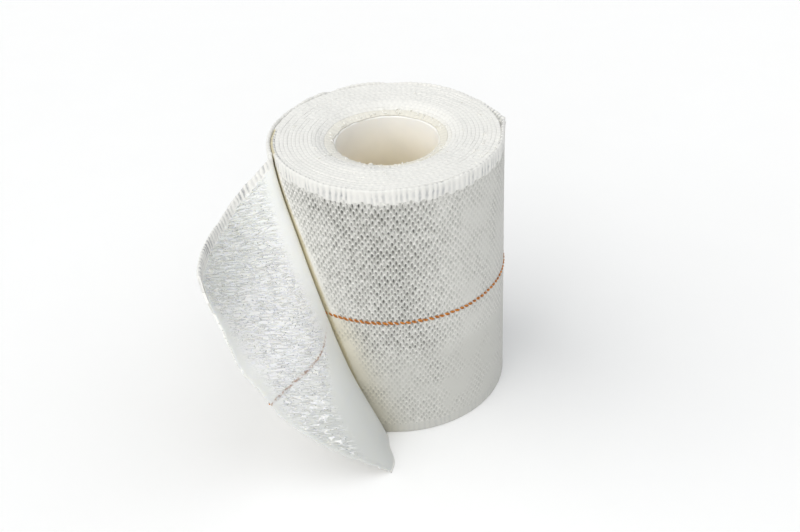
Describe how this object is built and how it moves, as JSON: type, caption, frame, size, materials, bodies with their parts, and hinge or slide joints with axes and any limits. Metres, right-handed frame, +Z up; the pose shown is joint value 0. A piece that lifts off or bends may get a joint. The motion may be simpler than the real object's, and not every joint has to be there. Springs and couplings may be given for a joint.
{
  "type": "elastic adhesive bandage roll",
  "caption": "Roll of white elastic adhesive bandage on a thin plastic core, standing on end, with its outer turn peeled open towards the front and a coloured centre thread.",
  "frame": {"origin": "centre of the bounding box on the base plane, the surface that the roll stands on", "axes": "+Z up along the roll's axis, -Y to the front, where the loose end opens, +X to the right"},
  "size_m": [0.074, 0.0812, 0.075],
  "materials": {
    "knitted_web": "matte knitted crepe",
    "core_plastic": "smooth, slightly glossy",
    "adhesive_web": "crepe with a dull adhesive coat"
  },
  "bodies": {
    "root": {"wound_roll": "knitted_web", "core": "core_plastic", "loose_end": "adhesive_web"}
  },
  "joints": []
}
